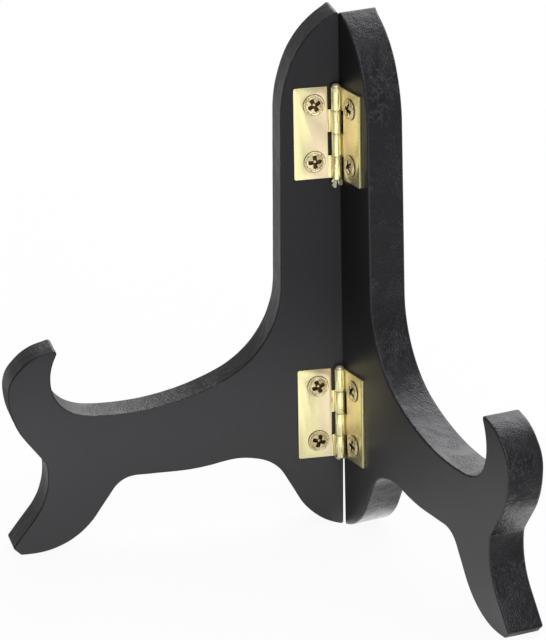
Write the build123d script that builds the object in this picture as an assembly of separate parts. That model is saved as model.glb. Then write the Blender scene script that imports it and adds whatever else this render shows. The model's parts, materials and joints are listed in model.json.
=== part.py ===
"""Folding two-board display stand: two flat boards joined along their spine edges by brass butt hinges.

Millimetres, +Z up. The boards stand on the table at Z = 0 and open towards -Y, +X is to the right.
The origin is on the table, at the middle of the open stand's footprint.
"""

import os
from math import cos, radians, sin, sqrt, tan

from build123d import *

# ---- the stand as a whole
opening_angle = 103.8  # between the inner faces of the boards, at rest
board_thickness = 10.5
board_height = 143.5
arm_length = 89.4  # from the fold axis to the front of the toe, along the board
shortest_run = 0.01  # straight that is left between two arcs of the outline

# ---- upright: front edge, shoulder and crown
upright_width_top = 14.6
upright_width_base = 15.6
crown_reach = 8.4
crown_drop = 5.2
crown_radius = 25.5
crown_tip_radius = 0.8
shoulder_drop = 21.3
shoulder_radius = 39.0

# ---- sweep from the upright down to the arm, and the seat that the album stands on
sweep_height = 51.5
sweep_radius = 28.5
seat_height = 36.3
seat_reach = 48.2
seat_radius = 69.0

# ---- hook at the end of the arm, its heights measured up from the seat
hook_thickness = 11.4
throat_foot_setback = 8.5
throat_foot_rise = 1.7
throat_foot_radius = 14.5
throat_setback = 1.2
throat_rise = 5.0
throat_radius = 9.8
hook_inside_rise = 14.3
hook_inside_radius = 14.0
hook_tip_rise = 20.9
hook_tip_overhang = 2.9
hook_tip_radius = 0.9
hook_crest_run = 8.0
hook_crest_drop = 2.1
hook_crest_radius = 12.9
hook_front_setback = 0.2
hook_brow_drop = 8.5
hook_brow_radius = 8.5
hook_cheek_drop = 19.4
hook_cheek_radius = 21.5

# ---- waist and foot below the hook
waist_depth = 9.8
waist_height = 25.2
waist_radius = 3.4
shin_depth = 11.0
shin_height = 16.2
shin_radius = 19.0
toe_height = 2.1
toe_undercut = 2.2
toe_radius = 0.7
sole_length = 16.4
sole_radius = 22.0

# ---- arch between the foot and the heel
ankle_setback = 30.0
ankle_radius = 7.7
arm_underside_height = 19.6
arm_underside_reach = 39.5
arm_underside_radius = 56.0
arch_height = 21.9
arch_reach = 27.2
arch_radius = 18.5
arch_shoulder_height = 19.8
arch_shoulder_reach = 17.4
arch_shoulder_radius = 10.9

# ---- heel at the foot of the spine edge
heel_slope = 15.5  # degrees that its underside rises away from the spine edge
heel_lobe_reach = 7.6
heel_lobe_radius = 18.0
heel_corner_radius = 0.7
spine_arris = 0.2  # broken inner arris of the spine edge, where the boards meet
spine_gap = 0.05  # between the boards' spine edges at rest
heel_relief = 0.5  # the spine edge is eased back by this much at the table
heel_relief_height = 48.0  # and the easing ends here

# ---- hinges
hinge_height = 25.0
upper_hinge_drop = 32.7  # from the top of the boards to the middle of the hinge
lower_hinge_middle = 32.6
leaf_width = 11.3  # from the fold axis to the free edge of a leaf
leaf_thickness = 0.68
leaf_corner_radius = 0.5
leaf_notch_reach = 2.2  # the leaf is cut back to here beside the other leaf's knuckles
knuckle_count = 4
knuckle_radius = 1.4
knuckle_end_gap = 0.12
knuckle_face_gap = 0.1  # between a knuckle and the boards' inner faces
roll_end_angle = 24.0  # where the rolled strip stops, below the level of the pin
pin_radius = 0.68
pin_clearance = 0.05
pin_head_radius = 1.05
pin_head_height = 0.5
pin_head_rim = 0.25  # height of the head's edge below its crown
pin_end_gap = 0.05  # between the knuckles and the pin's head and tail
pin_tail_radius = 1.15
pin_slot_width = 0.35
pin_slot_foot = 0.2  # share of the tail, next to the knuckle, that stays whole
pin_slot_turns = (35.0, 125.0)
upper_pin_tail = 1.9
lower_pin_tail = 0.7

# ---- cross-recess countersunk wood screws
screw_reach = 5.8
screw_pitch = 15.5
screw_length = 9.0
screw_head_radius = 2.85
screw_proud = 0.4  # height of the head's rim, which stands on the leaf
screw_shank_radius = 1.35
screw_point_length = 2.5
screw_tip_width = 0.2
screw_clearance = 0.05
recess_span = 3.1
recess_width = 0.75
recess_depth = 1.3
recess_foot_span = 1.2
upper_left_turns = (28.0, 4.0)  # how far each recess is turned, top screw first
upper_right_turns = (17.0, 61.0)
lower_left_turns = (22.0, 74.0)
lower_right_turns = (40.0, 12.0)

# ---- what follows from the sizes above
half_opening = radians(opening_angle / 2)
upper_hinge_middle = board_height - upper_hinge_drop
axis_to_face = knuckle_radius + knuckle_face_gap
knuckle_length = (hinge_height - (knuckle_count - 1) * knuckle_end_gap) / knuckle_count
bore_radius = pin_radius + pin_clearance
leaf_front = leaf_thickness - axis_to_face
meeting_depth = axis_to_face + spine_arris
spine_overhang = meeting_depth / tan(half_opening) - spine_gap / 2 / sin(half_opening)
front_of_toe = axis_to_face * sin(half_opening) - arm_length * cos(half_opening)
back_of_spine = (axis_to_face + board_thickness) * sin(half_opening) + spine_overhang * cos(half_opening)
fold_axis_y = -(front_of_toe + back_of_spine) / 2


def upright_corners():
    """Crown and front edge of the upright, as (reach, height, radius) from the spine down to the sweep."""
    return [
        (-spine_overhang, board_height, crown_tip_radius),
        (crown_reach, board_height - crown_drop, crown_radius),
        (upright_width_top, board_height - shoulder_drop, shoulder_radius),
        (upright_width_base, sweep_height, sweep_radius),
        (seat_reach, seat_height, seat_radius),
    ]


def hook_corners():
    """Throat, tip and front of the hook that keeps the album on the arm."""
    inside = arm_length - hook_thickness
    front = arm_length - hook_front_setback
    tip_height = seat_height + hook_tip_rise
    tip_reach = inside - hook_tip_overhang
    return [
        (inside - throat_foot_setback, seat_height + throat_foot_rise, throat_foot_radius),
        (inside - throat_setback, seat_height + throat_rise, throat_radius),
        (inside, seat_height + hook_inside_rise, hook_inside_radius),
        (tip_reach, tip_height, hook_tip_radius),
        (tip_reach + hook_crest_run, tip_height - hook_crest_drop, hook_crest_radius),
        (front, tip_height - hook_brow_drop, hook_brow_radius),
        (front, tip_height - hook_cheek_drop, hook_cheek_radius),
    ]


def foot_corners():
    """Waist, shin, toe and sole of the foot under the hook."""
    return [
        (arm_length - waist_depth, waist_height, waist_radius),
        (arm_length - shin_depth, shin_height, shin_radius),
        (arm_length, toe_height, toe_radius),
        (arm_length - toe_undercut, 0, toe_radius),
        (arm_length - sole_length, 0, sole_radius),
    ]


def arch_corners():
    """Underside of the arm, from the ankle over the arch to the heel and up the spine edge."""
    slope = radians(heel_slope)
    heel_reach = heel_relief - spine_overhang
    heel_drop = heel_corner_radius * ((1 + sin(slope)) / cos(slope) - 1)  # lost to the rounded corner
    lobe_height = (heel_lobe_reach - heel_reach) * tan(slope) - heel_drop
    return [
        (arm_length - ankle_setback, arm_underside_height, ankle_radius),
        (arm_underside_reach, arm_underside_height, arm_underside_radius),
        (arch_reach, arch_height, arch_radius),
        (arch_shoulder_reach, arch_shoulder_height, arch_shoulder_radius),
        (heel_lobe_reach, lobe_height, heel_lobe_radius),
        (heel_reach, -heel_drop, heel_corner_radius),
        (-spine_overhang, heel_relief_height, 0),
    ]


def fitted_radii(corners):
    """The corners' radii, each limited so that neighbouring arcs fit on the run between them."""
    points = [Vector(reach, height) for reach, height, _ in corners]
    radii = [radius for _, _, radius in corners]
    count = len(corners)
    runs = [points[(i + 1) % count] - points[i] for i in range(count)]
    tangents = [radii[i] * tan(radians(runs[i - 1].get_angle(runs[i])) / 2) for i in range(count)]
    needed = [(tangents[i] + tangents[(i + 1) % count]) / (runs[i].length - shortest_run) for i in range(count)]
    return [radii[i] / max(1, needed[i - 1], needed[i]) for i in range(count)]


def board_outline():
    """Closed outline of a board in its own plane: reach from the fold axis, height above the table."""
    corners = upright_corners() + hook_corners() + foot_corners() + arch_corners()
    points = [(reach, height) for reach, height, _ in corners]
    return make_face(FilletPolyline(*points, radius=fitted_radii(corners), close=True))


def board(hinge_middles):
    """One board with the pilot holes for its hinge screws."""
    face = Plane.XZ.offset(axis_to_face) * board_outline()
    blank = extrude(face, amount=board_thickness)
    spine_edge = Pos(-spine_overhang, -axis_to_face, board_height / 2) * Rot(0, 0, 45)
    blank -= spine_edge * Box(spine_arris * sqrt(2), spine_arris * sqrt(2), 2 * board_height)
    for middle in hinge_middles:
        for spot in screw_spots(middle):
            blank -= spot * screw_body(screw_length, screw_clearance)
    return blank


def screw_spots(hinge_middle):
    """Places of a leaf's two screws, top one first, each with its Z axis out of the leaf."""
    heights = (hinge_middle + screw_pitch / 2, hinge_middle - screw_pitch / 2)
    return [Location(Plane((screw_reach, leaf_front, height), (1, 0, 0), (0, 1, 0))) for height in heights]


def knuckle_bases(hinge_middle, first):
    """Lower ends of every second knuckle, counted down from the top of the hinge."""
    top = hinge_middle + hinge_height / 2
    step = knuckle_length + knuckle_end_gap
    return [top - knuckle_length - i * step for i in range(first, knuckle_count, 2)]


def rolled_strip():
    """Section of a knuckle: the leaf's edge runs in to the pin and is rolled round it, open at its end."""
    sweep = -(270 + roll_end_angle)
    outer = CenterArc((0, 0), knuckle_radius, -90, sweep)
    inner = CenterArc((0, 0), bore_radius, -90, sweep)
    back = Line((leaf_notch_reach, -axis_to_face), outer @ 0)
    front = Line((leaf_notch_reach, leaf_front), inner @ 0)
    root = Line(back @ 0, front @ 0)
    end = Line(outer @ 1, inner @ 1)
    return make_face([root, back, outer, end, inner, front])


def hinge_leaf(hinge_middle, first_knuckle):
    """Pressed leaf with its rolled knuckles and countersunk screw holes."""
    width = leaf_width - leaf_notch_reach
    plate = Pos(leaf_notch_reach + width / 2, leaf_front - leaf_thickness / 2, hinge_middle) * Box(
        width, leaf_thickness, hinge_height
    )
    free_corners = plate.edges().filter_by(Axis.Y).group_by(Axis.X)[-1]
    plate = fillet(free_corners, leaf_corner_radius)
    for base in knuckle_bases(hinge_middle, first_knuckle):
        plate += Pos(0, 0, base) * extrude(rolled_strip(), amount=knuckle_length)
    for spot in screw_spots(hinge_middle):
        plate -= spot * screw_body(screw_length, screw_clearance)
    return plate


def hinge_pin(hinge_middle, tail_length):
    """Pin with a low head above the knuckles and a cross-split, spread tail below them."""
    end = hinge_height / 2 + pin_end_gap
    shank = Cylinder(pin_radius, 2 * end)
    crown = pin_head_height - pin_head_rim
    head = Pos(0, 0, end + pin_head_rim / 2) * Cylinder(pin_head_radius, pin_head_rim)
    head += Pos(0, 0, end + pin_head_rim + crown / 2) * Cone(pin_head_radius, pin_head_radius - crown, crown)
    tail_middle = Pos(0, 0, -end - tail_length / 2)
    tail = tail_middle * Cone(pin_tail_radius, pin_radius, tail_length)
    slot = Box(2 * pin_tail_radius, pin_slot_width, tail_length)
    for turn in pin_slot_turns:
        tail -= Pos(0, 0, -pin_slot_foot * tail_length) * tail_middle * Rot(0, 0, turn) * slot
    return Pos(0, 0, hinge_middle) * (shank + head + tail)


def screw_body(length, clearance=0.0):
    """Blunt countersunk screw, Z = 0 at the leaf's front; the clearance grows it into a cutter."""
    head = screw_head_radius + clearance
    shank = screw_shank_radius + clearance
    profile = Polyline(
        (0, screw_proud + clearance),
        (head, screw_proud + clearance),
        (head, 0),
        (shank, shank - head),
        (shank, -length - clearance),
        (0, -length - clearance),
        close=True,
    )
    return revolve(Plane.XZ * make_face(profile), Axis.Z)


def tapered_bar(mouth, foot, depth, width):
    """Bar that hangs below Z = 0 and narrows along X from its mouth to its foot."""
    profile = Polyline((-mouth / 2, 0), (mouth / 2, 0), (foot / 2, -depth), (-foot / 2, -depth), close=True)
    return extrude(Plane.XZ * make_face(profile), amount=width / 2, both=True)


def screw(turn):
    """Cross-recess screw with a four-sided point, its recess turned about its axis."""
    point_top = Pos(0, 0, screw_point_length - screw_length)
    facets = tapered_bar(2 * screw_shank_radius, screw_tip_width, screw_point_length, 2 * screw_shank_radius)
    stub = Pos(0, 0, -screw_point_length / 2) * Cylinder(screw_shank_radius, screw_point_length)
    body = screw_body(screw_length - screw_point_length) + point_top * (stub & facets & Rot(0, 0, 90) * facets)
    slot = tapered_bar(recess_span, recess_foot_span, recess_depth, recess_width)
    for angle in (turn, turn + 90):
        body -= Pos(0, 0, screw_proud) * Rot(0, 0, angle) * slot
    return body


def left_frame():
    """Frame of the left board: X along the board from the fold axis, Y into the opening, Z up."""
    along = (-sin(half_opening), -cos(half_opening), 0)
    return Location(Plane((0, fold_axis_y, 0), along, (0, 0, 1)))


def placed(piece, side):
    """A piece made in the board's frame, set in the stand; the right side mirrors the left one."""
    on_left = left_frame() * piece
    return on_left if side == "left" else mirror(on_left, about=Plane.YZ)


def save(piece, name):
    """Write one piece of the stand to its own file."""
    piece.label = name
    export_step(piece, os.path.join("parts", name + ".step"))


def main():
    """Build every piece of the stand."""
    os.makedirs("parts", exist_ok=True)
    hinges = {
        "upper": (upper_hinge_middle, upper_pin_tail, {"left": upper_left_turns, "right": upper_right_turns}),
        "lower": (lower_hinge_middle, lower_pin_tail, {"left": lower_left_turns, "right": lower_right_turns}),
    }
    for side, first_knuckle in (("left", 1), ("right", 0)):
        save(placed(board((upper_hinge_middle, lower_hinge_middle)), side), f"{side}_board")
        for level, (middle, _, turns) in hinges.items():
            save(placed(hinge_leaf(middle, first_knuckle), side), f"{level}_hinge_{side}_leaf")
            for place, spot, turn in zip(("top", "bottom"), screw_spots(middle), turns[side]):
                save(placed(spot * screw(turn), side), f"{level}_{side}_screw_{place}")
    for level, (middle, tail, _) in hinges.items():
        save(placed(hinge_pin(middle, tail), "left"), f"{level}_hinge_pin")


main()
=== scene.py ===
"""Dressed folding display stand: two black lacquered boards on small brass butt hinges, in a plain studio.

Lengths are in metres.
"""

import json
import logging
import math
from dataclasses import dataclass, field
from enum import Enum
from functools import cached_property
from typing import Any, ClassVar, Iterable, Sequence

import bmesh
import bpy
import numpy as np
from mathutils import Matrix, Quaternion, Vector, noise


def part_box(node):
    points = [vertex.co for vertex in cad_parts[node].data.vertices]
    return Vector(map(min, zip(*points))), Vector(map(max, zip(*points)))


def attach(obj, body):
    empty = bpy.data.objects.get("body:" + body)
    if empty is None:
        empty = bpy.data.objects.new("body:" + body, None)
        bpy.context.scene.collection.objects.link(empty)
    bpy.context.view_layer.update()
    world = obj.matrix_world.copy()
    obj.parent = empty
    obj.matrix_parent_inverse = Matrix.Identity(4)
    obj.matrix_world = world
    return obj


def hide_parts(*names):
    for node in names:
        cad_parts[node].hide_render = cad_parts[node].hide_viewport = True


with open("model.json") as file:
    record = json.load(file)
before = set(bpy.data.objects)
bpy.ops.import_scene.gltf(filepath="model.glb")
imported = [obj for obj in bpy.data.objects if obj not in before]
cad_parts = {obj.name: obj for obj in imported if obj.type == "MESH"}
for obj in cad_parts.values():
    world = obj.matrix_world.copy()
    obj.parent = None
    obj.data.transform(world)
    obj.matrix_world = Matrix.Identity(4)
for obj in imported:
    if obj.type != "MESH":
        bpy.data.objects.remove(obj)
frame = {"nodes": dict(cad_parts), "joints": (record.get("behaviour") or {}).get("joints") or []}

LOG = logging.getLogger("display_stand")
MM = 0.001
MICRON = 1e-6
UP = np.array((0.0, 0.0, 1.0))
FOLD_AXIS = np.array(frame["joints"][0]["pos_m"])
Colour = tuple[float, float, float]
Point = tuple[float, float, float]
Span = tuple[float, float]


class Side(Enum):
    """Which board of the stand, seen from its open side; the value is the name of its body."""

    LEFT = "left"
    RIGHT = "right"


class Level(Enum):
    """Which of the two hinges."""

    UPPER = "upper"
    LOWER = "lower"


class Seat(Enum):
    """Which of a leaf's two screws."""

    TOP = "top"
    BOTTOM = "bottom"


class Slot(Enum):
    """Material slots of the record."""

    LACQUER = "black_lacquer"
    HINGE = "hinge_brass"
    PIN = "pin_brass"
    SCREW = "screw_brass"


# ---- shader maths


@dataclass(frozen=True)
class Wire:
    """A value that runs between shader nodes, so that maths on it reads as a plain expression."""

    tree: "ShaderTree"
    socket: bpy.types.NodeSocket | None  # an output, or none behind the last node

    def _math(self, operation: str, *values: "Feed") -> "Wire":
        """Add a Math node on one or two values."""
        return self.tree.node("ShaderNodeMath", {"operation": operation}, dict(enumerate(values)))

    def __add__(self, other: "Feed") -> "Wire":
        """Sum."""
        return self._math("ADD", self, other)

    def __radd__(self, other: "Feed") -> "Wire":
        """Sum, reflected."""
        return self._math("ADD", other, self)

    def __sub__(self, other: "Feed") -> "Wire":
        """Difference."""
        return self._math("SUBTRACT", self, other)

    def __rsub__(self, other: "Feed") -> "Wire":
        """Difference, reflected."""
        return self._math("SUBTRACT", other, self)

    def __mul__(self, other: "Feed") -> "Wire":
        """Product."""
        return self._math("MULTIPLY", self, other)

    def __rmul__(self, other: "Feed") -> "Wire":
        """Product, reflected."""
        return self._math("MULTIPLY", other, self)

    def __abs__(self) -> "Wire":
        """The value without its sign."""
        return self._math("ABSOLUTE", self)

    def at_least(self, other: "Feed") -> "Wire":
        """The larger of two values."""
        return self._math("MAXIMUM", self, other)

    def at_most(self, other: "Feed") -> "Wire":
        """The smaller of two values."""
        return self._math("MINIMUM", self, other)


Feed = Wire | float | int | Sequence[float]
OCTAVE_SHARE = 0.6  # how strongly each finer octave of a grain shows


class ShaderTree:
    """Node tree of a material or of the surroundings, with one method that adds any node."""

    def __init__(self, owner: bpy.types.Material | bpy.types.World) -> None:
        """Empty the owner's tree.

        Args:
            owner: Material or world that the tree belongs to.
        """
        owner.use_nodes = True
        self.owner = owner
        self.nodes = owner.node_tree.nodes
        self.links = owner.node_tree.links
        self.nodes.clear()

    @classmethod
    def of_material(cls, name: str) -> "ShaderTree":
        """Start a material, given its name."""
        return cls(bpy.data.materials.new(name))

    def node(
        self,
        kind: str,
        settings: dict[str, Any] | None = None,
        feeds: dict[str | int, Feed] | None = None,
        output: str | int = 0,
    ) -> Wire:
        """Add a node.

        Args:
            kind: Blender's type of the node.
            settings: Its properties, set first.
            feeds: Values or links of its input sockets, by name or index.
            output: Which output socket to return.

        Returns:
            The wire out of the node.
        """
        made = self.nodes.new(kind)
        for name, value in (settings or {}).items():
            setattr(made, name, value)
        for name, value in (feeds or {}).items():
            socket = made.inputs[name]
            if isinstance(value, Wire):
                self.links.new(value.socket, socket)
            else:
                socket.default_value = (*value, 1.0) if socket.type == "RGBA" else value
        return Wire(self, made.outputs[output] if made.outputs else None)

    def place(self) -> Wire:
        """Position on the piece, in the stand's own frame."""
        return self.node("ShaderNodeTexCoord", output="Object")

    def vector(self, operation: str, *feeds: Feed, output: str | int = 0) -> Wire:
        """Add a Vector Math node on the vectors given."""
        return self.node("ShaderNodeVectorMath", {"operation": operation}, dict(enumerate(feeds)), output)

    def part(self, axis: str, vector: Wire) -> Wire:
        """One part of a vector, by the name of its axis."""
        return self.node("ShaderNodeSeparateXYZ", {}, {0: vector}, axis)

    def rays(self, kind: str) -> Wire:
        """One for the rays of a kind."""
        return self.node("ShaderNodeLightPath", output=f"Is {kind} Ray")

    def grain(self, size: float, detail: float = 2.0, stretch: Colour = (1, 1, 1), seed: float = 0.0) -> Wire:
        """Noise from 0 to 1.

        Args:
            size: Size of its largest features.
            detail: Octaves of finer noise.
            stretch: Scale along each axis, less than 1 to stretch the features.
            seed: Shift that makes one noise differ from another.

        Returns:
            The noise value.
        """
        moves = {"Vector": self.place(), "Scale": tuple(s / size for s in stretch), "Location": (seed,) * 3}
        mapped = self.node("ShaderNodeMapping", {"vector_type": "POINT"}, moves)
        feeds = {"Vector": mapped, "Scale": 1.0, "Detail": detail, "Roughness": OCTAVE_SHARE}
        return self.node("ShaderNodeTexNoise", {}, feeds)

    def ramp(self, value: Feed, low: float, high: float, start: float = 0.0, end: float = 1.0) -> Wire:
        """Smooth step of a value, from start to end where it rises from low to high."""
        feeds = {"Value": value, "From Min": low, "From Max": high, "To Min": start, "To Max": end}
        return self.node("ShaderNodeMapRange", {"interpolation_type": "SMOOTHSTEP"}, feeds)

    def mix(self, share: Feed, first: Feed, second: Feed) -> Wire:
        """Mix of two colours, by the share of the second; its colour sockets go by their numbers."""
        return self.node("ShaderNodeMix", {"data_type": "RGBA"}, {0: share, 6: first, 7: second}, 2)

    def bump(self, height: Feed, distance: float, under: Wire | None = None) -> Wire:
        """Normal of a relief of the given depth, laid over that of a coarser one."""
        feeds = {"Height": height, "Distance": distance, "Strength": 1.0}
        return self.node("ShaderNodeBump", {}, feeds | ({"Normal": under} if under else {}))

    def close(self, surface: Wire, kind: str = "Material") -> bpy.types.Material | bpy.types.World:
        """End the tree with an output node and return what it belongs to."""
        self.node(f"ShaderNodeOutput{kind}", {}, {"Surface": surface})
        return self.owner

    def surface(self, feeds: dict[str | int, Feed]) -> bpy.types.Material:
        """Finish the material with a Principled shader, given what feeds its sockets."""
        return self.close(self.node("ShaderNodeBsdfPrincipled", {}, feeds))


# ---- finishes


@dataclass(frozen=True)
class Lacquer:
    """Sprayed satin black lacquer over fibreboard."""

    colour: Colour
    dust: Colour  # colour of its high spots: rubbed wear, and painted highlights on the fibres
    dust_share: float
    roughness: float
    pebble: float  # depth of the fibres that swell under the film
    pebble_size: float
    swell: float  # depth of the broader unevenness
    swell_size: float
    calm: float  # share of the relief where the film is smoothest
    crease: float  # height of the creases where the film has puckered
    # share of that colour on the creases' ridges: painted highlights along the creases
    crease_dust: float
    ior: float
    settled: Colour  # colour low down, lighter than the film above: painted light from the floor
    settled_height: Span = (22 * MM, 76 * MM)  # heights below which it is full and above which there is none
    tint: Colour = (0.94, 0.94, 1.0)  # colour of the film's mirror image
    patch_size: float = 9 * MM  # size of a rougher patch of the film
    drift_size: float = 22 * MM  # size over which its roughness drifts
    fold_size: float = 3.2 * MM
    fold_width: float = 0.035  # width of a crease, as a range of its noise
    pucker_size: float = 14 * MM  # size of a patch that has puckered
    flat_rise: Span = (0.3, 0.55)  # rises of the surface between which the puckering ends

    def material(self, name: str) -> bpy.types.Material:
        """Build the material.

        Args:
            name: What it is for.

        Returns:
            The finish.
        """
        tree = ShaderTree.of_material(f"{name}_lacquer")
        pebbles = tree.grain(self.pebble_size, 2.0)
        swells = tree.grain(self.swell_size, 1.0, seed=4.0)
        patches = tree.ramp(tree.grain(self.patch_size, 2.0, seed=8.0), 0.38, 0.6, self.calm, 1.0)
        # the fibres' high spots lighter: rubbed wear, and painted highlights
        rubbed_and_glinting = tree.ramp(pebbles, 0.52, 0.7) * patches * self.dust_share
        drift = tree.grain(self.drift_size, 2.0, seed=2.0)
        height = tree.part("Z", tree.place())
        # lighter towards the bottom: painted light from the floor
        floor_lit = tree.mix(tree.ramp(height, *self.settled_height), self.settled, self.colour)
        lines = tree.grain(self.fold_size, 3.0, (1, 1, 0.7), 12.0) - 0.5
        folds = tree.ramp(abs(lines), 0.0, self.fold_width, 1.0, 0.0)
        rise = tree.part("Z", tree.node("ShaderNodeNewGeometry", output="Normal"))
        upright = tree.ramp(abs(rise), *self.flat_rise, 1.0, 0.0)
        ridges = folds * (tree.ramp(tree.grain(self.pucker_size, 1.0, seed=15.0), 0.5, 0.6) * upright)
        broad = tree.bump(ridges, self.crease, under=tree.bump(swells, self.swell))
        return tree.surface(
            {
                "Base Color": tree.mix(rubbed_and_glinting + ridges * self.crease_dust, floor_lit, self.dust),
                "Roughness": self.roughness + (drift - 0.5) * 0.1 + rubbed_and_glinting * 0.1,
                "Normal": tree.bump(pebbles * patches, self.pebble, under=broad),
                "IOR": self.ior,
                "Specular Tint": self.tint,
            }
        )


@dataclass(frozen=True)
class Brass:
    """Thin bright brass plate on pressed steel."""

    bright: Colour  # clean plate
    tan: Colour  # dulled plate
    tan_share: float  # how much of it has dulled
    roughness: float
    brush: float  # depth of its upright draw marks
    brush_size: float  # width of a draw mark
    pit: float  # depth of its fine pits
    fleck: float = 0.7  # noise above which a dull fleck shows
    lines: float = 0.0  # how dark the draw marks are; on the knuckles they are partly painted reflection, the dark lines that a knuckle mirrors
    reach: Span | None = None  # distances from the middle between which the dulling ends
    sheen: float = 1.0  # share of it that mirrors, where the rest scatters
    cloud_size: float = 7 * MM  # size of a dulled cloud
    cloud_spread: float = 8 * MM  # how far they shift the end of the dulling
    pit_size: float = 0.32 * MM
    fleck_size: float = 0.45 * MM

    def material(self, name: str) -> bpy.types.Material:
        """Build the material.

        Args:
            name: What it is for.

        Returns:
            The finish.
        """
        tree = ShaderTree.of_material(f"{name}_brass")
        clouds = tree.grain(self.cloud_size, 2.0, (1, 1, 0.45), 3.0)
        cloud = tree.ramp(clouds, 0.38, 0.66)
        if self.reach:
            aside = abs(tree.part("X", tree.place())) + (clouds - 0.5) * self.cloud_spread
            cloud = tree.ramp(aside, *self.reach, 1.0, 0.0)
        streaks = tree.grain(self.brush_size, 2.0, (1, 1, 0.06), 7.0)
        pits = tree.grain(self.pit_size, 2.0, seed=1.0)
        flecks = tree.ramp(tree.grain(self.fleck_size, 1.0, seed=5.0), self.fleck, self.fleck + 0.08) * 0.8
        # dark draw marks: real marks, and on the knuckles painted reflection as well
        marks_and_reflections = tree.ramp(streaks, 0.59, 0.64) * self.lines
        dulled_and_reflections = (cloud * self.tan_share).at_least(marks_and_reflections.at_least(flecks))
        drawn = tree.bump(streaks, self.brush)
        return tree.surface(
            {
                "Base Color": tree.mix(dulled_and_reflections, self.bright, self.tan),
                "Metallic": self.sheen,
                "Roughness": self.roughness + (streaks - 0.5) * 0.12 + dulled_and_reflections * 0.06,
                "Normal": tree.bump(pits, self.pit, under=drawn),
            }
        )


@dataclass(frozen=True)
class Finishes:
    """Every finish of the stand."""

    face: Lacquer = Lacquer(
        colour=(0.0055, 0.0055, 0.006), dust=(0.02, 0.02, 0.021), dust_share=0.2, roughness=0.38,
        pebble=6e-6, pebble_size=0.9 * MM, swell=1.2e-5, swell_size=5 * MM, calm=0.5, crease=0.0,
        crease_dust=0.0, ior=1.45, settled=(0.046, 0.046, 0.0475),
    )
    edge: Lacquer = Lacquer(
        colour=(0.006, 0.006, 0.0065), dust=(0.05, 0.05, 0.053), dust_share=0.42, roughness=0.33,
        pebble=2.2e-4, pebble_size=0.5 * MM, swell=1.2e-4, swell_size=2.2 * MM, calm=0.3, crease=1.4e-4,
        crease_dust=0.4, ior=1.5, settled=(0.006, 0.006, 0.0065),
    )
    leaf: Brass = Brass(
        bright=(0.98, 0.9, 0.49), tan=(0.94, 0.78, 0.54), tan_share=0.78, roughness=0.28, brush=8e-6,
        brush_size=0.4 * MM, pit=4e-6, reach=(3.5 * MM, 7.5 * MM), sheen=0.88,
    )
    knuckle: Brass = Brass(
        bright=(0.98, 0.92, 0.53), tan=(0.55, 0.36, 0.14), tan_share=0.06, roughness=0.2, brush=5e-5,
        brush_size=0.5 * MM, pit=3e-6, lines=0.85, sheen=0.82,
    )
    pin: Brass = Brass(
        bright=(0.98, 0.94, 0.66), tan=(0.7, 0.5, 0.26), tan_share=0.3, roughness=0.24, brush=1e-5,
        brush_size=0.4 * MM, pit=1e-5, sheen=0.6,
    )
    screw: Brass = Brass(
        bright=(0.96, 0.86, 0.54), tan=(0.42, 0.27, 0.1), tan_share=0.4, roughness=0.25, brush=1e-5,
        brush_size=0.5 * MM, pit=6e-5, fleck=0.54, sheen=0.72,
    )
    # painted shade: dark brass for the walls of the cross recesses and the ring round each screw head
    recess: Brass = Brass(
        bright=(0.09, 0.055, 0.022), tan=(0.03, 0.018, 0.008), tan_share=0.8, roughness=0.4, brush=1e-5,
        brush_size=0.5 * MM, pit=2e-5,
    )

    def build(self) -> dict[str, bpy.types.Material]:
        """Build every finish and return them by name."""
        return {name: finish.material(name) for name, finish in vars(self).items()}


# ---- mesh helpers


def points_of(node: str) -> np.ndarray:
    """Points of a node of the frame."""
    return np.array([v.co for v in frame["nodes"][node].data.vertices])


@dataclass(frozen=True)
class BoardFrame:
    """Frame of one board, as unit vectors: reach along it, depth into the opening, height."""

    along: np.ndarray  # from the fold axis along the board
    inward: np.ndarray  # out of its inner face, into the opening

    @classmethod
    def of(cls, side: Side) -> "BoardFrame":
        """Find a board's frame from its largest flat face.

        Args:
            side: Which board.

        Returns:
            Its frame.
        """
        node = f"{side.value}_board"
        largest = max(frame["nodes"][node].data.polygons, key=lambda face: face.area)
        inward = np.array((*largest.normal.xy.normalized(), 0.0))
        inward = inward if inward[1] < 0 else -inward
        along = np.cross(inward, UP)
        centre = points_of(node).mean(0) - FOLD_AXIS
        return cls(along if along @ centre > 0 else -along, inward)

    def measure(self, points: np.ndarray) -> np.ndarray:
        """Turn points of the stand into reach, depth and height."""
        return (points - FOLD_AXIS) @ np.stack((self.along, self.inward, UP)).T

    def place(self, points: np.ndarray) -> np.ndarray:
        """Turn reach, depth and height into points of the stand."""
        return points @ np.stack((self.along, self.inward, UP)) + FOLD_AXIS


def linked(name: str, data: bpy.types.ID) -> bpy.types.Object:
    """Put an object into the scene.

    Args:
        name: Its name.
        data: Its mesh, lamp or camera.

    Returns:
        The object.
    """
    made = bpy.data.objects.new(name, data)
    bpy.context.scene.collection.objects.link(made)
    return made


class Part:
    """A part of the stand, made again and shown in place of its node of the frame."""

    pattern: ClassVar[str]  # how its node is named
    slot: ClassVar[Slot]
    dress: ClassVar[tuple[str, ...]]  # its finishes, in the order of its faces' numbers
    side: Side

    @property
    def node(self) -> str:
        """Name of the node that holds the part."""
        choices = {key: choice.value for key, choice in vars(self).items() if isinstance(choice, Enum)}
        return self.pattern.format(**choices)

    @cached_property
    def board(self) -> BoardFrame:
        """Frame of the part's board."""
        return BoardFrame.of(self.side)

    def mesh(self) -> bpy.types.Mesh:
        """Build the part's mesh, its faces numbered by the finish that they get."""
        raise NotImplementedError

    def build(self, finishes: dict[str, bpy.types.Material]) -> None:
        """Make the part, dress it and show it.

        Args:
            finishes: The stand's materials.
        """
        mesh = self.mesh()
        for name in self.dress:
            mesh.materials.append(finishes[name])
        body, nodes, slot = self.side.value, [self.node], self.slot
        piece = linked(mesh.name, mesh)
        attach(piece, body)
        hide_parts(*nodes)
        LOG.info("%s: %d faces on body %s", piece.name, len(mesh.polygons), body)


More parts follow.
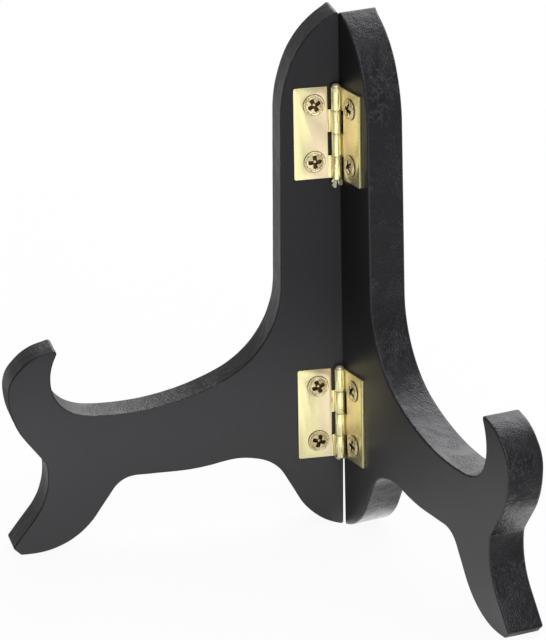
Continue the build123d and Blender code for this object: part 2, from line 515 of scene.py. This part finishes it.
def mesh_of(name: str, points: np.ndarray, faces: Iterable[Sequence[int]], sharp: float) -> bpy.types.Mesh:
    """Make a mesh with its faces turned outwards.

    Args:
        name: Name of the mesh.
        points: Its points.
        faces: Point numbers of each face.
        sharp: Angle in degrees above which an edge is shaded sharp.

    Returns:
        The mesh.
    """
    mesh = bpy.data.meshes.new(name)
    mesh.from_pydata([tuple(p) for p in points], [], [tuple(f) for f in faces])
    model = bmesh.new()
    model.from_mesh(mesh)
    bmesh.ops.recalc_face_normals(model, faces=model.faces)
    model.to_mesh(mesh)
    model.free()
    mesh.shade_smooth()
    mesh.set_sharp_from_angle(angle=math.radians(sharp))
    return mesh


def tube(rings: int, count: int) -> list[Sequence[int]]:
    """Faces over closed rings of points that follow each other, with a cap on both ends.

    Args:
        rings: Number of rings.
        count: Points in each ring.

    Returns:
        The faces.
    """
    last = (rings - 1) * count
    pairs = [(i, (i + 1) % count) for i in range(count)]
    sides = [(a + i, a + j, a + count + j, a + count + i) for a in range(0, last, count) for i, j in pairs]
    return [*sides, range(count), range(last, last + count)]


# ---- boards


@dataclass
class Board(Part):
    """A lacquered board, made again from the frame's outline with rounded arrises and a fibrous cut edge."""

    pattern = "{side}_board"
    slot = Slot.LACQUER
    dress = ("face", "edge")
    side: Side
    arris: float = 0.5 * MM  # radius of the sanded arris round the inner face
    back_arris: float = 0.9 * MM  # radius of the one round the outer face
    spine_arris: float = 0.15 * MM  # radius of those of the spine edge
    rim: float = 0.12 * MM  # strip that keeps the face's shading flat
    step: float = 0.4 * MM  # spacing of the points on the cut edge
    fibre: float = 0.07 * MM  # depth of the cut edge's unevenness
    fibre_size: float = 2.6 * MM  # length of one swell of it
    arris_steps: int = 5
    fill_bend: float = 0.12  # bend from point to point above which a hollow corner is filled
    fill_reach: int = 5  # points on each side that the filling reaches
    fill_passes: int = 30  # how often they are smoothed
    arc_length: float = 0.03  # share by which neighbouring sides of one arc may differ in length
    arc_turn: float = 0.4  # turn in radians above which they aren't one arc
    hold: float = 0.985  # share of its setback at which a moved point must stay from the outline
    slack: float = 0.01 * MM  # how much nearer it may come
    face_lean: float = 0.8  # lean towards the opening above which it is one of the faces

    def corner_loop(self) -> tuple[np.ndarray, float, float]:
        """Outline of the board's outer face, in order.

        Returns:
            The outline as reach and height, and the depths of the outer and the inner face.
        """
        points = self.board.measure(points_of(self.node))
        back, front = points[:, 1].min(), points[:, 1].max()
        keys = [tuple(np.round(p / MICRON).astype(int)) for p in points[:, (0, 2)]]
        on_back = points[:, 1] < back + MICRON
        edges: dict[tuple, None] = {}
        for face in frame["nodes"][self.node].data.polygons:
            if all(on_back[v] for v in face.vertices):
                corners = [keys[v] for v in face.vertices]
                edges.update(dict.fromkeys(zip(corners, corners[1:] + corners[:1])))
        rim = {a: b for a, b in edges if (b, a) not in edges}
        place = dict(zip(keys, points[:, (0, 2)]))
        start = next(iter(rim))
        loop = [start]
        while rim[loop[-1]] != start:
            loop.append(rim[loop[-1]])
        return np.array([place[key] for key in loop]), back, front

    def smooth_outline(self, loop: np.ndarray) -> tuple[np.ndarray, np.ndarray]:
        """Points along the outline at even steps, with arcs made round again.

        Args:
            loop: Corners of the outline, evenly spaced along each arc.

        Returns:
            Points and outward normals.
        """
        runs = np.roll(loop, -1, 0) - loop
        lengths = np.linalg.norm(runs, axis=1)
        ways = runs / lengths[:, None]
        ahead = np.roll(ways, -1, 0)
        turns = np.arctan2(ways[:, 0] * ahead[:, 1] - ways[:, 1] * ahead[:, 0], (ways * ahead).sum(1))
        even = np.abs(lengths - np.roll(lengths, -1)) < self.arc_length * lengths
        alike = even & (np.abs(turns) < self.arc_turn)
        leans = np.where(alike, turns, np.where(np.roll(alike, 1), np.roll(turns, 1), 0.0)) / 2
        points, normals = [], []
        for start, run, length, lean in zip(loop, runs, lengths, leans):
            count = max(1, math.ceil(length / self.step))
            t = (np.arange(count) / count)[:, None]
            side = np.array((-run[1], run[0]))
            bend = np.tan(lean)
            points.append(start + run * t - side * bend * t * (1 - t))
            way = run - side * bend * (1 - 2 * t)
            normals.append(way / np.linalg.norm(way, axis=1)[:, None])
        outline, way = np.concatenate(points), np.concatenate(normals)
        turn = np.sign(np.cross(outline, np.roll(outline, -1, 0)).sum())
        return self.fill_notches(outline, turn * np.stack((way[:, 1], -way[:, 0]), axis=1))

    def fill_notches(self, outline: np.ndarray, normals: np.ndarray) -> tuple[np.ndarray, np.ndarray]:
        """Fill the outline's sharp inner corners as the paint does.

        Args:
            outline: Points of the outline.
            normals: Its outward normals.

        Returns:
            The points and normals with the corners filled.
        """
        chords = np.roll(outline, -1, 0) - np.roll(outline, 1, 0)
        hollow = (chords * np.roll(normals, -1, 0)).sum(1) < -self.fill_bend * self.step
        window = np.ones(2 * self.fill_reach + 1)
        near = np.convolve(np.tile(hollow, 3), window, "same")[len(outline) : 2 * len(outline)]
        share = (np.clip(near, 0, 1) / 2)[:, None]
        both = np.hstack((outline, normals))
        for _ in range(self.fill_passes):
            both = both + share * ((np.roll(both, 1, 0) + np.roll(both, -1, 0)) / 2 - both)
        return both[:, :2], both[:, 2:] / np.linalg.norm(both[:, 2:], axis=1)[:, None]

    def radii(self, outline: np.ndarray, radius: float) -> np.ndarray:
        """Radius of an arris at each point of the outline, small along the spine edge."""
        away = np.clip((outline[:, 0] - outline[:, 0].min() - radius) / (2 * radius), 0, 1)
        return self.spine_arris + (radius - self.spine_arris) * away

    def inset(self, outline: np.ndarray, normals: np.ndarray, setback: np.ndarray) -> np.ndarray:
        """Move the outline inwards, and keep its tight corners from folding over.

        Args:
            outline: Points of the outline.
            normals: Its outward normals.
            setback: How far each point moves.

        Returns:
            The moved points.
        """
        moved = outline - normals * setback[:, None]
        gaps = np.linalg.norm(moved[:, None] - outline[None], axis=2).min(1)
        good = np.flatnonzero(gaps > setback * self.hold - self.slack)
        count = len(outline)
        kept = [np.interp(np.arange(count), good, moved[good, i], period=count) for i in (0, 1)]
        return np.stack(kept, axis=1)

    def section(self, thickness: float) -> list[tuple[float, float, float, float]]:
        """Section through the board's edge, from the inner face to the outer one.

        Args:
            thickness: Thickness of the board.

        Returns:
            Setback in radii, extra setback, depth in radii and share of the way of each ring of points.
        """
        angles = [math.pi / 2 * i / self.arris_steps for i in range(self.arris_steps + 1)]
        round_over = [(1 - math.sin(a), 0.0, 1 - math.cos(a), 0.0) for a in angles]
        count = round(thickness / self.step)
        half = [(1.0, self.rim, 0.0, 0.0), *round_over]
        middle = [(0.0, 0.0, 1.0, i / count) for i in range(1, count)]
        other_half = [(*ring[:3], 1.0) for ring in reversed(half)]
        return [*half, *middle, *other_half]

    def roughen(self, points: np.ndarray, normals: np.ndarray, share: float) -> np.ndarray:
        """Sink points of the cut edge by the unevenness of its fibre.

        Args:
            points: Points as reach, depth and height.
            normals: Outward normals of the outline.
            share: How much of the unevenness reaches this ring.

        Returns:
            The sunk points.
        """
        grains = np.array([noise.noise(Vector(p / self.fibre_size)) for p in points])
        sunk = self.fibre * share * (0.5 + 0.5 * np.clip(grains, -1, 1))
        sunk[points[:, 0] < points[:, 0].min() + self.arris] = 0
        return points - sunk[:, None] * np.insert(normals, 1, 0.0, axis=1)

    def mesh(self) -> bpy.types.Mesh:
        """Build the board, with its cut edge numbered apart from its faces.

        Returns:
            Its mesh.
        """
        loop, back, front = self.corner_loop()
        outline, normals = self.smooth_outline(loop)
        inner, outer = self.radii(outline, self.arris), self.radii(outline, self.back_arris)
        section = self.section(front - back)
        rings = []
        for setback, extra, depth, share in section:
            ring = self.inset(outline, normals, (inner if share < 1 else outer) * setback + extra)
            edges = front - inner * depth, back + outer * depth
            depths = edges[1] if share == 1 else edges[0] + (edges[1] - edges[0]) * share
            ring = np.stack((ring[:, 0], depths, ring[:, 1]), axis=1)
            rings.append(self.roughen(ring, normals, 1 - setback) if extra == 0 else ring)
        points = self.board.place(np.concatenate(rings))
        mesh = mesh_of(f"{self.node}_dressed", points, tube(len(section), len(outline)), 60)
        inward = Vector(self.board.inward)
        cut = [int(abs(inward @ face.normal) < self.face_lean) for face in mesh.polygons]
        mesh.polygons.foreach_set("material_index", cut)
        return mesh


# ---- hinges


@dataclass
class HingeLeaf(Part):
    """A pressed leaf with its rolled knuckles, its arrises softened by polishing."""

    pattern = "{level}_hinge_{side}_leaf"
    slot = Slot.HINGE
    dress = ("leaf", "knuckle")
    side: Side
    level: Level
    arris: float = 0.16 * MM
    sharp: float = 40.0  # angle in degrees above which an edge is an arris
    knuckle_reach: float = 1.5 * MM  # how far from the fold axis the knuckles reach
    weld: float = 0.002 * MM  # distance within which the solid's points are joined
    flat: float = 0.5  # angle in degrees below which its triangles are joined
    bends: int = 3  # faces across a softened arris

    def mesh(self) -> bpy.types.Mesh:
        """Build the leaf, with its knuckles numbered apart from its plate.

        Returns:
            Its mesh.
        """
        model = bmesh.new()
        model.from_mesh(frame["nodes"][self.node].data)
        bmesh.ops.remove_doubles(model, verts=model.verts, dist=self.weld)
        flat, sharp = math.radians(self.flat), math.radians(self.sharp)
        bmesh.ops.dissolve_limit(model, angle_limit=flat, verts=model.verts, edges=model.edges)
        geom = [edge for edge in model.edges if edge.calc_face_angle(0.0) > sharp]
        how = {"segments": self.bends, "profile": 0.5, "affect": "EDGES", "clamp_overlap": True}
        bmesh.ops.bevel(model, geom=geom, offset=self.arris, **how)
        for face in model.faces:
            reach = self.board.measure(np.array(face.calc_center_median()))[0]
            face.material_index = int(reach < self.knuckle_reach)
        mesh = bpy.data.meshes.new(f"{self.node}_dressed")
        model.to_mesh(mesh)
        model.free()
        mesh.shade_smooth()
        mesh.set_sharp_from_angle(angle=sharp)
        return mesh


@dataclass
class HingePin(Part):
    """A pin with a domed head and a split tail whose claws are spread to hold it."""

    pattern = "{level}_hinge_pin"
    slot = Slot.PIN
    dress = ("pin",)
    side = Side.LEFT
    level: Level
    radius: float = 0.68 * MM
    head_radius: float = 1.08 * MM
    dome: float = 0.3 * MM  # height of its crown above the frame's plainer head
    tail_radius: float = 1.55 * MM
    wall: float = 0.52 * MM
    claw_turns: tuple[float, ...] = (75.0, 165.0, 252.0, 342.0)  # middle direction of each claw in degrees
    claw_width: float = 80.0  # angle that a claw spans at its root
    claw_lengths: tuple[float, ...] = (0.5, 0.45, 1.0, 0.75)  # length of each claw, as a share of the tail
    claw_faces: tuple[int, int] = (8, 10)  # faces across and down a claw
    flare: float = 1.4  # power with which a claw spreads, 1 for a straight one
    thinned: float = 0.25  # share of its thickness that a claw loses towards its tip
    narrowed: float = 0.18  # share of its width that it loses there
    ragged: float = 0.09  # how uneven its tip is, as a share of its length
    # share of the claws' length that each hinge's pin keeps
    upset: dict[Level, float] = field(default_factory=lambda: {Level.UPPER: 1.0, Level.LOWER: 0.45})
    rim: float = 0.2  # height of the head's rim, as a share of the head
    chamfer: Span = (0.94, 0.3)  # shares of the radius and the rim at which its lower edge is broken
    crown_rings: int = 10  # rings over the head's crown
    around: int = 40

    def profile(self, foot: float, shoulder: float, top: float) -> list[Span]:
        """Radius and height of the pin and its head, from the tail up.

        Args:
            foot: Height of the pin's lower end.
            shoulder: Height of the head's underside.
            top: Height of the head's crown.

        Returns:
            The profile.
        """
        rim = shoulder + self.rim * (top - shoulder)
        steps = [math.pi / 2 * i / self.crown_rings for i in range(1, self.crown_rings)]
        return [
            (self.radius, foot),
            (self.radius, shoulder),
            (self.head_radius * self.chamfer[0], shoulder),
            (self.head_radius, shoulder + self.chamfer[1] * (rim - shoulder)),
            (self.head_radius, rim),
            *[(self.head_radius * math.cos(a), rim + (top - rim) * math.sin(a)) for a in steps],
        ]

    def claw(self, turn: float, root: float, length: float, first: int) -> tuple[list, list]:
        """One bent claw of the tail, broad at its root and bent outwards at its tip.

        Args:
            turn: Its middle direction in degrees.
            root: Height at which it leaves the pin.
            length: Its length.
            first: Number of its first point.

        Returns:
            Points and faces.
        """
        across, down = self.claw_faces
        points, faces = [], []
        for i in range(down + 1):
            share = i / down
            outer = self.radius + (self.tail_radius - self.radius) * share**self.flare
            wall = self.wall * (1 - self.thinned * share)
            width = self.claw_width * (1 - self.narrowed * share)
            for radius in (outer, outer - wall):
                for j in range(across + 1):
                    bend = math.radians(turn + width * (j / across - 0.5))
                    ragged = self.ragged * length * share * math.cos(5 * bend + self.claw_width)
                    height = root - length * share + ragged
                    points.append((radius * math.cos(bend), radius * math.sin(bend), height))
        row, pair = across + 1, 2 * (across + 1)
        strips = [(j + shift, 1) for j in range(across) for shift in (0, row)] + [(0, row), (across, row)]
        for a in range(first, first + down * pair, pair):
            faces += [(a + k, a + k + d, a + k + d + pair, a + k + pair) for k, d in strips]
        for a in (first, first + down * pair):
            faces += [(a + j, a + j + 1, a + j + 1 + row, a + j + row) for j in range(across)]
        return points, faces

    def mesh(self) -> bpy.types.Mesh:
        """Build the pin.

        Returns:
            Its mesh.
        """
        low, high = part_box(self.node)
        leaf_low, leaf_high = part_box(f"{self.level.value}_hinge_right_leaf")
        other_low, other_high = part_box(f"{self.level.value}_hinge_left_leaf")
        top, bottom = max(leaf_high.z, other_high.z), min(leaf_low.z, other_low.z)
        root = bottom + self.radius
        profile = self.profile(root, top, high.z + self.dome)
        angles = [2 * math.pi * i / self.around for i in range(self.around)]
        points = [(r * math.cos(a), r * math.sin(a), z) for r, z in profile for a in angles]
        faces = tube(len(profile), self.around)
        tail = (bottom - low.z) * self.upset[self.level]
        for turn, share in zip(self.claw_turns, self.claw_lengths):
            more_points, more_faces = self.claw(turn, root, self.radius + tail * share, len(points))
            points += more_points
            faces += more_faces
        placed = np.array(points) + FOLD_AXIS * (1, 1, 0)
        return mesh_of(f"{self.node}_dressed", placed, faces, 40)


@dataclass
class WoodScrew(Part):
    """A raised countersunk screw with a cross recess and a cut thread."""

    pattern = "{level}_{side}_screw_{seat}"
    slot = Slot.SCREW
    # the second finish is painted shade, in the recess and round the head
    dress = ("screw", "recess")
    side: Side
    level: Level
    seat: Seat
    turn: float  # how far its recess is turned, in degrees
    head: float = 2.85 * MM
    rim: float = 0.34 * MM  # height of the head's edge above the leaf
    dome: float = 2.35 * MM  # radius at which the flat rim ends and the dome begins
    crown: float = 0.69 * MM  # height of the head's middle above the leaf
    round_over: float = 0.16 * MM
    shank: float = 1.33 * MM  # radius over the thread
    core: float = 0.95 * MM  # radius under the thread
    pitch: float = 0.9 * MM  # rise of the thread in one turn
    point: float = 2.2 * MM  # length of the taper at the end
    span: float = 3.7 * MM  # length of the recess's arms
    arm_width: float = 1.12 * MM
    groove: float = 0.09 * MM  # depth of the groove round the dome
    depth: float = 0.75 * MM
    groove_width: float = 0.14 * MM  # half of that groove's width
    bright: float = 0.3 * MM  # radius of the recess's bottom, which is left without the painted shade
    side_wall: float = 0.14 * MM  # run of the recess's side walls
    end_wall: float = 0.26 * MM  # run of the walls at its arms' ends
    arm: Span = (0.86, 0.24)  # its width in the middle and what it gains towards its end, as shares
    arm_end: float = 0.6  # how round an arm's end is
    arm_rise: float = 0.35  # share of the depth by which an arm rises towards its end
    swell: float = 0.8  # power that gives the dome its shape
    neck: float = 1.2 * MM  # length of the plain neck under the head
    ridge: float = 0.28  # half of the thread's width, as a share of the pitch
    tip: float = 0.1  # share of the radius that the very end keeps
    hub: float = 0.04 * MM  # radius of the head's innermost ring
    head_step: float = 0.06 * MM  # distance from ring to ring across the dome
    rim_rings: int = 7  # rings across the flat rim
    edge_rings: int = 5  # rings round the head's edge
    ring_step: float = 0.16 * MM  # distance from ring to ring down the thread
    runout: float = 0.1 * MM  # gap between the neck and the thread
    stain: float = 0.15  # share of the recess's depth from which its walls get painted shade
    stained: float = 0.6  # share of a face's points that must be in painted shade for the face to get it
    around: int = 120

    def recess(self, u: np.ndarray, w: np.ndarray) -> np.ndarray:
        """Depth of the cross recess.

        Args:
            u: Distance along one arm.
            w: Distance along the other.

        Returns:
            Share of the full depth at each point.
        """
        half = self.span / 2
        cut = np.zeros_like(u)
        for a, b in ((np.abs(u), np.abs(w)), (np.abs(w), np.abs(u))):
            width = self.arm_width / 2 * (self.arm[0] + self.arm[1] * a / half)
            side = np.clip((width - b) / self.side_wall, 0, 1)
            end = np.clip((half - a - self.arm_end * b**2 / self.arm_width) / self.end_wall, 0, 1)
            cut = np.maximum(cut, side * end * (1 - self.arm_rise * a / half))
        return cut

    @property
    def angles(self) -> np.ndarray:
        """Directions of a ring's points, in radians."""
        return np.arange(self.around) / self.around * 2 * math.pi

    def ring(self, radius: float | np.ndarray, depth: float | np.ndarray) -> np.ndarray:
        """Ring of points about the screw's axis, at a height above the leaf's front."""
        parts = radius * np.cos(self.angles), depth + 0 * self.angles, radius * np.sin(self.angles)
        return np.stack(parts, axis=1)

    def head_rings(self) -> tuple[list[np.ndarray], list[np.ndarray]]:
        """Top of the head, from its middle outwards.

        Returns:
            Rings of points, and the share of the recess at each point.
        """
        edge = self.head - self.round_over
        dome_radii = np.arange(self.hub, self.dome, self.head_step)
        turn = math.radians(self.turn)
        rings, shares = [], []
        for radius in [*dome_radii, *np.linspace(self.dome, edge, self.rim_rings)]:
            flat = self.ring(radius, 0.0)
            u = flat[:, 0] * math.cos(turn) - flat[:, 2] * math.sin(turn)
            w = flat[:, 0] * math.sin(turn) + flat[:, 2] * math.cos(turn)
            share = self.recess(u, w)
            dome = max(0.0, 1 - (radius / self.dome) ** 2) ** self.swell
            top = self.rim + (self.crown - self.rim) * dome
            top -= self.groove * max(0.0, 1 - abs(radius - self.dome) / self.groove_width)
            rings.append(self.ring(radius, top - self.depth * share))
            shares.append(share)
        for step in range(1, self.edge_rings + 1):
            bend = math.pi / 2 * step / self.edge_rings
            radius = edge + self.round_over * math.sin(bend)
            rings.append(self.ring(radius, self.rim - self.round_over * (1 - math.cos(bend))))
            shares.append(np.zeros(self.around))
        return rings, shares

    def shank_rings(self, length: float) -> list[np.ndarray]:
        """Neck, thread and point below the head.

        Args:
            length: Length below the leaf's front.

        Returns:
            Rings of points, downwards.
        """
        cone = self.head - self.shank
        made = [self.ring(self.head, 0.0), self.ring(self.shank, -cone)]
        made.append(self.ring(self.shank, -cone - self.neck))
        start = cone + self.neck + self.runout
        count = round((length - start) / self.ring_step)
        for i in range(count + 1):
            down = start + (length - start) * i / count
            taper = min(1.0, (length - down) / self.point * (1 - self.tip) + self.tip)
            phase = (down / self.pitch + self.angles / (2 * math.pi)) % 1
            ridge = np.clip(1 - np.abs(phase - 0.5) / self.ridge, 0, 1)
            made.append(self.ring((self.core + (self.shank - self.core) * ridge) * taper, -down))
        return made

    def mesh(self) -> bpy.types.Mesh:
        """Build the screw, with its recess walls and the edge of its head numbered apart for painted shade.

        Returns:
            Its mesh.
        """
        solid = self.board.measure(points_of(self.node))
        leaf = self.board.measure(points_of(f"{self.level.value}_hinge_{self.side.value}_leaf"))
        front = leaf[leaf[:, 0] > solid[:, 0].max()][:, 1].max()
        middle = (solid.min(0) + solid.max(0)) / 2
        tops, shares = self.head_rings()
        rings = [*tops, *self.shank_rings(front - solid[:, 1].min())]
        points = self.board.place(np.concatenate(rings) + (middle[0], front, middle[2]))
        mesh = mesh_of(f"{self.node}_dressed", points, tube(len(rings), self.around), 35)
        share = np.concatenate([*shares, np.zeros((len(rings) - len(tops)) * self.around)])
        radius = np.linalg.norm(np.concatenate(rings)[:, (0, 2)], axis=1)
        # the edge of the head gets painted shade as well, a dark ring round it
        edge = radius > self.head - self.round_over / 8
        edge[(len(tops) + 1) * self.around :] = False
        # faces in painted shade: the recess walls and the head's edge
        dark = (share > self.stain) & (radius > self.bright) | edge
        numbers = [int(np.mean([dark[v] for v in face.vertices]) > self.stained) for face in mesh.polygons]
        mesh.polygons.foreach_set("material_index", numbers)
        return mesh


# how far each recess is turned in degrees, the leaf's top screw first
SCREW_TURNS = {
    (Level.UPPER, Side.LEFT): (28.0, 4.0),
    (Level.UPPER, Side.RIGHT): (17.0, 61.0),
    (Level.LOWER, Side.LEFT): (22.0, 74.0),
    (Level.LOWER, Side.RIGHT): (40.0, 12.0),
}


# ---- studio


@dataclass(frozen=True)
class Lamp:
    """A soft square lamp that looks at the stand."""

    name: str
    bearing: Span  # degrees round the stand, 0 in front, 90 on the right, and degrees above the table
    distance: float
    size: float
    power: float

    def build(self, target: Vector) -> None:
        """Hang the lamp.

        Args:
            target: Point that it looks at.
        """
        data = bpy.data.lights.new(self.name, "AREA")
        data.shape, data.size, data.energy = "SQUARE", self.size, self.power
        aimed(linked(self.name, data), target, self.bearing, self.distance)
        LOG.info("lamp %s", self.name)


def direction(azimuth: float, elevation: float) -> Vector:
    """Unit vector from the stand to a place around it: degrees from the front to the right, and up."""
    a, e = math.radians(azimuth), math.radians(elevation)
    return Vector((math.sin(a) * math.cos(e), -math.cos(a) * math.cos(e), math.sin(e)))


def aimed(seer: bpy.types.Object, target: Vector, bearing: Span, distance: float, roll: float = 0.0) -> None:
    """Stand a lamp or a camera round a target and turn it towards it.

    Args:
        seer: The lamp or camera.
        target: Point that it looks at.
        bearing: Its azimuth and elevation in degrees.
        distance: Its distance.
        roll: Degrees that it leans.
    """
    away = direction(*bearing)
    seer.location = target + away * distance
    seer.rotation_mode = "QUATERNION"
    seer.rotation_quaternion = (-away).to_track_quat("-Z", "Y") @ Quaternion(UP, math.radians(roll))


@dataclass(frozen=True)
class Patch:
    """A round patch of the floor that shows brighter or darker in reflections."""

    middle: Point
    edge: Span  # distances from there at which its light begins to fall off and ends
    light: float  # its strength over that of the floor, less than 0 for a dark patch


@dataclass(frozen=True)
class Studio:
    """Pale floor, pale surroundings and soft lamps."""

    floor_size: float = 6.0
    floor_colour: Colour = (0.9, 0.9, 0.9)
    glow: float = 0.93  # share of the floor that shows as white to the eye and in reflections
    middle: Point = (-0.015, 0.025, 0.0)  # where the lit part of the floor starts
    pool: Span = (0.06, 0.24)  # distances from there between which its light falls off
    pool_light: Span = (1.62, 1.25)  # its strength before and after that
    shade: Span = (0.06, 0.112)  # distances from there between which the stand's own shade ends
    shade_depth: float = 0.9
    front: float = 20.0  # direction of its middle in degrees, 0 in front, 90 on the right
    front_edge: Span = (0.75, 0.87)  # cosines of the angles from there at which it is dim and lit
    side_light: float = 0.48  # strength of the floor's light at the sides and behind
    # patches of the floor: behind the right board, at its heel and hook, and round the left foot
    patches: tuple[Patch, ...] = (
        Patch((0.06, 0.035, 0.0), (0.048, 0.062), 0.75),
        Patch((0.006, 0.027, 0.0), (0.004, 0.013), 2.0),
        Patch((0.078, -0.01, 0.0), (0.006, 0.016), 1.4),
        Patch((-0.104, 0.021, 0.0), (0.002, 0.013), 0.25),
        Patch((-0.165, 0.025, 0.0), (0.04, 0.06), -0.33),
        Patch((-0.05, -0.045, 0.0), (0.02, 0.045), 0.5),
    )
    backdrop: Point = (0.15, 0.9, 0.3)  # direction of the middle of the lit backdrop
    backdrop_edge: Span = (0.6, 0.95)  # cosines of the angles from there at which its light ends and is full
    backdrop_light: Span = (0.25, 0.9)  # strength of the surroundings away from it and at its middle
    lamps: tuple[Lamp, ...] = (
        Lamp("back_lamp", (185, 45), 0.9, 0.9, 6.2),
        Lamp("front_lamp", (42, 45), 1.1, 1.0, 6.0),
    )

    @staticmethod
    def seen(tree: ShaderTree) -> Wire:
        """One for rays from the eye, glossy rays and rays through glass."""
        eye, gloss, glass = (tree.rays(kind) for kind in ("Camera", "Glossy", "Transmission"))
        return (eye + gloss + glass).at_most(1.0)

    @staticmethod
    def unseen(tree: ShaderTree, light: Wire) -> Wire:
        """Plain white to the eye, and the given light to every other ray."""
        eye = tree.rays("Camera")
        return eye + (1 - eye) * light

    def floor_light(self, tree: ShaderTree) -> Wire:
        """Strength of the floor's light in reflections: a pool in front, and the near patches.

        Args:
            tree: The floor's shader.

        Returns:
            The strength.
        """
        place = tree.place()
        toward = tree.vector("SUBTRACT", place, self.middle)
        away = tree.vector("LENGTH", toward, output="Value")
        ahead = tuple(direction(self.front, 0.0))
        turned = tree.vector("DOT_PRODUCT", tree.vector("NORMALIZE", toward), ahead, output="Value")
        lit = tree.ramp(turned, *self.front_edge)
        dim: Feed = self.side_light
        for patch in self.patches:
            aside = tree.vector("DISTANCE", place, patch.middle, output="Value")
            dim = dim + tree.ramp(aside, *patch.edge, patch.light, 0.0)
        shade = tree.ramp(away, *self.shade, self.shade_depth, 0.0)
        pool = tree.ramp(away, *self.pool, *self.pool_light) - shade
        return dim + lit * (pool - dim)

    def floor(self) -> None:
        """Lay the floor."""
        half = self.floor_size / 2
        corners = np.array([(-half, -half, 0), (half, -half, 0), (half, half, 0), (-half, half, 0)])
        mesh = mesh_of("floor", corners, [(0, 1, 2, 3)], 30)
        tree = ShaderTree.of_material("floor_paint")
        paint = tree.node("ShaderNodeBsdfDiffuse", {}, {"Color": self.floor_colour})
        white = tree.node("ShaderNodeEmission", {}, {"Color": self.unseen(tree, self.floor_light(tree))})
        shader = tree.node("ShaderNodeMixShader", {}, {0: self.seen(tree) * self.glow, 1: paint, 2: white})
        mesh.materials.append(tree.close(shader))
        floor = linked("floor", mesh)

    def surroundings(self) -> None:
        """Surround the stand with white, brightest behind it."""
        tree = ShaderTree(bpy.data.worlds.new("pale_surroundings"))
        toward = tuple(Vector(self.backdrop).normalized())
        share = tree.vector("DOT_PRODUCT", tree.node("ShaderNodeTexCoord"), toward, output="Value")
        light = self.unseen(tree, tree.ramp(share, *self.backdrop_edge, *self.backdrop_light))
        bpy.context.scene.world = tree.close(tree.node("ShaderNodeBackground", {}, {"Color": light}), "World")

    def build(self, target: Vector) -> None:
        """Set up the floor, the surroundings and the lamps.

        Args:
            target: Point that the lamps look at.
        """
        self.floor()
        self.surroundings()
        for lamp in self.lamps:
            lamp.build(target)


@dataclass(frozen=True)
class Viewpoint:
    """The camera."""

    bearing: Span = (25.901, 19.594)  # degrees round the stand and above the table
    roll: float = -1.054  # degrees that the picture leans
    distance: float = 1.21417
    target: Point = (-0.014956, 0.012557, 0.059823)  # point at the middle of the picture
    lens: float = 258.05  # focal length in millimetres, on a sensor 36 mm long

    def build(self) -> None:
        """Set up the camera."""
        data = bpy.data.cameras.new("camera")
        data.lens, data.sensor_width, data.clip_start, data.clip_end = self.lens, 36.0, 0.01, 20.0
        camera = linked("camera", data)
        aimed(camera, Vector(self.target), self.bearing, self.distance, self.roll)
        bpy.context.scene.camera = camera
        LOG.info("camera %.1f degrees to the right, %.1f above", *self.bearing)


def stand_parts() -> Iterable[Part]:
    """Every part of the stand.

    Returns:
        The parts, in the order in which they are made.
    """
    yield from (Board(side) for side in Side)
    for level in Level:
        yield HingePin(level)
        for side in Side:
            yield HingeLeaf(side, level)
            for seat, turn in zip(Seat, SCREW_TURNS[level, side]):
                yield WoodScrew(side, level, seat, turn)


def main() -> None:
    """Build the stand and its studio."""
    logging.basicConfig(level=logging.INFO, format="%(name)s: %(message)s")
    bpy.context.scene.view_settings.view_transform = "Standard"
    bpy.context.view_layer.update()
    Viewpoint().build()
    Studio().build(Vector((0.0, 0.0, 0.07)))
    finishes = Finishes().build()
    for part in stand_parts():
        part.build(finishes)


if __name__ == "__main__":
    main()
